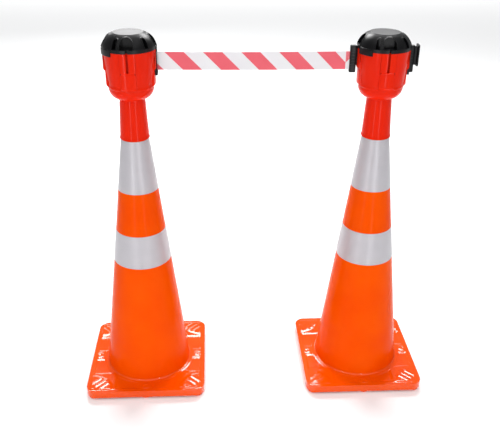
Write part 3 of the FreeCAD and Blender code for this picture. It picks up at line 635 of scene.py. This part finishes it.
# ---- Belt clips -----------------------------------------------------------------------------------
# Black ABS: a rounded finger bar that holds the belt's end on a pin, and a T flange on a thin web that
# drops into a slot. The left clip sits in the right topper, the right one in its own outlet.
DOCKED, STOWED = 248.5, 406.5            # mm, the bar's belt side
clip = box("clip", (0, 18), (-6.5, 6.5), (970, 1043))
edit(clip)
pick(clip, "EDGE", lambda edge: edge.calc_length() > 50 * MM)
bpy.ops.mesh.bevel(offset=4.6 * MM, segments=5, affect="EDGES")
pick(clip, "EDGE", lambda edge: abs(edge.verts[0].co.z - edge.verts[1].co.z) < 1e-6
     and len({face.normal.z ** 2 > 0.5 for face in edge.link_faces}) == 2)
bpy.ops.mesh.bevel(offset=2.2 * MM, segments=3, affect="EDGES")
close()
flange = box("flange", (24.7, 27.9), (-14, 14), (987, 1046))
edit(flange)
pick(flange, "EDGE", lambda edge: edge.calc_length() < 4 * MM)
bpy.ops.mesh.bevel(offset=6 * MM, segments=6, affect="EDGES")
close()
combine(clip, box("web", (16, 26), (-2.25, 2.25), (990, 1040)), "UNION")
combine(clip, flange, "UNION")
for height in (992, 1000, 1008, 1016, 1024):
    grip = joined([box("grip", (4, 14), (side * 6.5 - 0.5, side * 6.5 + 0.5), (height - 0.9, height + 0.9))
                   for side in (-1, 1)])
    combine(clip, grip, "DIFFERENCE")
combine(clip, box("belt_way", (-1, 8), (-1.3, 1.3), (BELT_LOW - 1, BELT_HIGH + 1)), "DIFFERENCE")
round_edges(clip, 0.4)
clip.data.materials.append(black_abs)
for side, start in (("left", DOCKED), ("right", STOWED)):
    piece = copied(clip, side + "_belt_clip", start)
    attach(piece, side + "_clip")
    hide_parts(side + "_clip")
bpy.data.objects.remove(clip, do_unlink=True)

# ---- Belts ----------------------------------------------------------------------------------------
# Woven polyester webbing, 48 mm wide, with slanting red and white stripes printed through it. The left
# belt is drawn out to the other topper; only the end of the right one is out of its winding.
STRIPE = 101.6                           # mm along the belt from one red edge to the next
FIRST_RED = 778                          # mm: x plus z where a red stripe starts
THREAD = 1.6                             # mm between threads; 0.8 on the real belt, too fine to show

webbing, shader = new_material("woven polyester webbing")
laid = node(webbing, "TexCoord", {}).outputs["UV"]
parts = node(webbing, "SeparateXYZ", {"Vector": laid})
fray = node(webbing, "TexNoise", {"Vector": laid, "Scale": 1 / (2 * MM), "Detail": 1.0})
slant = node(webbing, "Math", {0: parts.outputs["X"], 1: parts.outputs["Y"]}, operation="ADD")
slant = node(webbing, "Math", {0: fray.outputs["Fac"], 1: 0.8 * MM, 2: slant.outputs["Value"]},
             operation="MULTIPLY_ADD")
turns = node(webbing, "Math", {0: slant.outputs["Value"], 1: STRIPE * MM}, operation="DIVIDE")
turns = node(webbing, "Math", {0: turns.outputs["Value"]}, operation="FRACT")
white = node(webbing, "Math", {0: turns.outputs["Value"], 1: 0.5}, operation="GREATER_THAN")
soil = node(webbing, "TexNoise", {"Vector": laid, "Scale": 18.0, "Detail": 5.0})
red_yarn = node(webbing, "ValToRGB", {"Fac": soil.outputs["Fac"]})
for stop, shade in zip(red_yarn.color_ramp.elements, ("#E05A66", "#E96975")):
    stop.color = linear(shade)
white_yarn = node(webbing, "ValToRGB", {"Fac": soil.outputs["Fac"]})
for stop, shade in zip(white_yarn.color_ramp.elements, ("#DEDCDF", "#E8E6E9")):
    stop.color = linear(shade)
striped = node(webbing, "Mix", {"Factor": white.outputs["Value"], 6: red_yarn.outputs["Color"],
                                7: white_yarn.outputs["Color"]}, data_type="RGBA")
threads = [node(webbing, "TexWave", {"Vector": laid, "Scale": math.pi / (10 * THREAD * MM)},
                bands_direction=way) for way in ("X", "Y")]
weave = node(webbing, "Math", {0: threads[0].outputs["Fac"], 1: threads[1].outputs["Fac"]},
             operation="MULTIPLY")
cloth = node(webbing, "Bump", {"Height": weave.outputs["Value"], "Strength": 0.45, "Distance": 0.25 * MM})
wire(webbing, shader, {"Base Color": striped.outputs[2], "Roughness": 0.72, "Specular IOR Level": 0.3,
                       "Normal": cloth.outputs["Normal"], "Sheen Weight": 0.25, "Sheen Roughness": 0.4})


def strip(name, start, end, cuts, thick, sag=0.0):
    """A length of webbing along X with its thickness, hanging a little in the middle when given a sag."""
    bpy.ops.object.select_all(action="DESELECT")
    middle_place = ((start + end) / 2 * MM, 0, (BELT_LOW + BELT_HIGH) / 2 * MM)
    bpy.ops.mesh.primitive_grid_add(x_subdivisions=cuts, y_subdivisions=8, size=MM,
                                    rotation=(math.pi / 2, 0, 0), location=middle_place)
    piece = bpy.context.object
    piece.scale = (end - start, BELT_HIGH - BELT_LOW, 1)
    piece.name = piece.data.name = name
    bpy.ops.object.transform_apply(location=True, rotation=True, scale=True)
    if sag:
        span = end - start
        emboss(piece, lambda p: -4 * sag * (p.x - start) * (end - p.x) / span ** 2, sag)
    cloth = piece.modifiers.new("thickness", "SOLIDIFY")
    cloth.thickness, cloth.offset = thick * MM, 0
    fix_modifier(piece, cloth)
    smooth(piece, 50)
    piece.data.materials.append(webbing)
    return piece


def lay_pattern(piece, along):
    """Give the stripes their place: along turns a point's x in mm into its distance along the belt."""
    fresh_uv(piece, "weave", lambda point, centre: ((along(point.x / MM) - FIRST_RED) * MM, point.z))


RUN_START, HEM_LONG = 46.3, 10
left_start, left_end = LEFT + RUN_START, DOCKED - HEM_LONG
belt = strip("left_webbing", left_start, left_end, 120, 0.6, sag=1.6)
lay_pattern(belt, lambda x: x)
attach(belt, "left_belt_run")
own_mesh(belt)
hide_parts("left_belt")

right_start, right_end, pull = RIGHT + RUN_START, STOWED - HEM_LONG, 2000
stub = strip("right_webbing", right_start, right_end, 60, 0.6)


def drawn_out(x):
    """Where a point of the stub is when the belt is pulled right out, so that its stripes fit there."""
    share = (x - right_start) / (right_end - right_start)
    return x + pull * share * share * (3 - 2 * share)


lay_pattern(stub, drawn_out)
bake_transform(stub)
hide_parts("right_belt")

# ---- Sewn belt ends -------------------------------------------------------------------------------
# The belt's end is folded round a steel pin inside the clip and sewn to itself with two rows of thread.
HEM_THICK, HEM_INSIDE, FOLD = 1.8, 8, 25  # mm; FOLD is where the turned webbing's stripes start again
STITCH_ROWS, STITCH_GAP, STITCHES = (-7, -3), 3.5, 13
hem = strip("hem", -HEM_LONG, HEM_INSIDE, 9, HEM_THICK)
round_edges(hem, 0.5)
white_thread, shader = new_material("polyester sewing thread")
place = node(white_thread, "TexCoord", {}).outputs["Object"]
twist = node(white_thread, "TexWave", {"Vector": place, "Scale": math.pi / (10 * 0.8 * MM)},
             bands_direction="DIAGONAL")
ply = node(white_thread, "Bump", {"Height": twist.outputs["Fac"], "Strength": 0.4, "Distance": 0.1 * MM})
fibre = node(white_thread, "TexNoise", {"Vector": place, "Scale": 300.0})
tone = node(white_thread, "ValToRGB", {"Fac": fibre.outputs["Fac"]})
for stop, shade in zip(tone.color_ramp.elements, ("#E4E0DC", "#F6F4F2")):
    stop.color = linear(shade)
wire(white_thread, shader, {"Base Color": tone.outputs["Color"], "Roughness": 0.6,
                            "Normal": ply.outputs["Normal"]})
bpy.ops.object.select_all(action="DESELECT")
bpy.ops.mesh.primitive_uv_sphere_add(segments=8, ring_count=6, radius=1.3 * MM, location=(0, 0, 0))
stitch = bpy.context.object
stitch.scale = (0.25, 0.3, 1)
bpy.ops.object.transform_apply(scale=True)
stitches = []
for row in STITCH_ROWS:
    for i in range(STITCHES):
        for face in (-1, 1):
            twin = copied(stitch, "stitch", row)
            twin.location = (0, face * 0.95 * MM, (BELT_LOW + 3 + STITCH_GAP * i) * MM)
            bpy.ops.object.transform_apply(location=True)
            stitches.append(twin)
bpy.data.objects.remove(stitch, do_unlink=True)
stitching = joined(stitches)
smooth(stitching, 60)
stitching.data.materials.append(white_thread)
for side, start in (("left", DOCKED), ("right", STOWED)):
    piece = copied(hem, side + "_sewn_end", start)
    # the fold turns the webbing over, so its stripes lean the other way
    lay_pattern(piece, lambda x: start - FOLD - x)
    sewing = copied(stitching, side + "_stitching", start)
    for part in (piece, sewing):
        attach(part, side + "_clip")
    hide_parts(side + "_belt_hem")
for spare in (hem, stitching):
    bpy.data.objects.remove(spare, do_unlink=True)

# ---- Winding cassettes ----------------------------------------------------------------------------
# Inside each cup: zinc-plated steel plates on spacers, a turned shaft, a nylon spool with its blued
# spring, nylon rollers, and the belt's turns. These keep their shapes and get their own finishes.


def metal(name, dark, light, roughness, streak):
    """A steel whose surface has fine marks: streak is their size in mm along X, Y and Z."""
    made, shader = new_material(name)
    place = node(made, "TexCoord", {}).outputs["Object"]
    drawn = node(made, "Mapping", {"Vector": place, "Scale": [1 / (size * MM) for size in streak]})
    marks = node(made, "TexNoise", {"Vector": drawn.outputs["Vector"], "Scale": 1.0, "Detail": 3.0})
    tone = node(made, "ValToRGB", {"Fac": marks.outputs["Fac"]})
    for stop, shade in zip(tone.color_ramp.elements, (dark, light)):
        stop.color = linear(shade)
    rough = node(made, "MapRange", {"Value": marks.outputs["Fac"], "To Min": roughness,
                                    "To Max": roughness + 0.15})
    relief = node(made, "Bump", {"Height": marks.outputs["Fac"], "Strength": 0.15, "Distance": 0.1 * MM})
    wire(made, shader, {"Base Color": tone.outputs["Color"], "Metallic": 1.0,
                        "Roughness": rough.outputs["Result"], "Normal": relief.outputs["Normal"]})
    return made


# Zinc plate is cool grey with a soft spangle; turned steel shows rings; blued spring steel is dark.
zinc = metal("zinc-plated steel", "#9A9DA0", "#C2C6CA", 0.3, (6, 6, 6))
steel = metal("turned steel", "#8E8F92", "#BFC0C3", 0.18, (40, 40, 0.6))
blued = metal("blued spring steel", "#2B3442", "#4A5364", 0.3, (12, 12, 2))

# Natural nylon, moulded: creamy white, a little waxy, with faint flow marks.
nylon, shader = new_material("natural nylon, moulded")
place = node(nylon, "TexCoord", {}).outputs["Object"]
flow = node(nylon, "TexNoise", {"Vector": place, "Scale": 60.0, "Detail": 3.0})
tone = node(nylon, "ValToRGB", {"Fac": flow.outputs["Fac"]})
for stop, shade in zip(tone.color_ramp.elements, ("#DAD6CA", "#E9E6DC")):
    stop.color = linear(shade)
waxy = node(nylon, "Bump", {"Height": flow.outputs["Fac"], "Strength": 0.08, "Distance": 0.3 * MM})
wire(nylon, shader, {"Base Color": tone.outputs["Color"], "Roughness": 0.4,
                     "Normal": waxy.outputs["Normal"], "Subsurface Weight": 0.1, "Subsurface Scale": 0.002})

# The wound webbing shows only its edges and outer turn: the same stripes, laid by place.
wound, shader = new_material("woven polyester webbing, wound")
place = node(wound, "TexCoord", {}).outputs["Object"]
stripes = node(wound, "TexWave", {"Vector": place, "Scale": math.pi / (10 * STRIPE * MM * math.sqrt(0.5))},
               bands_direction="DIAGONAL")
sharp = node(wound, "Math", {0: stripes.outputs["Fac"], 1: 0.5}, operation="GREATER_THAN")
yarns = node(wound, "Mix", {"Factor": sharp.outputs["Value"], 6: linear("#DF4A57"), 7: linear("#EEECEF")},
             data_type="RGBA")
ribs = node(wound, "TexWave", {"Vector": place, "Scale": math.pi / (10 * THREAD * MM)}, bands_direction="Z")
cloth = node(wound, "Bump", {"Height": ribs.outputs["Fac"], "Strength": 0.4, "Distance": 0.2 * MM})
wire(wound, shader, {"Base Color": yarns.outputs[2], "Roughness": 0.75, "Normal": cloth.outputs["Normal"]})

FINISHES = {zinc: ("base_plate", "top_plate", "spacers", "plate_screws", "cassette_screws"),
            steel: ("shaft", "roller_pins", "clip_pin"),
            blued: ("circlip", "power_spring"),
            nylon: ("spool", "spring_cover", "front_roller", "rear_roller"),
            wound: ("belt_winding", "belt_lead")}
for finish, names in FINISHES.items():
    for name in names:
        for side in ("left", "right"):
            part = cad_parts[side + "_" + name]
            for slot in part.material_slots:
                slot.material = finish
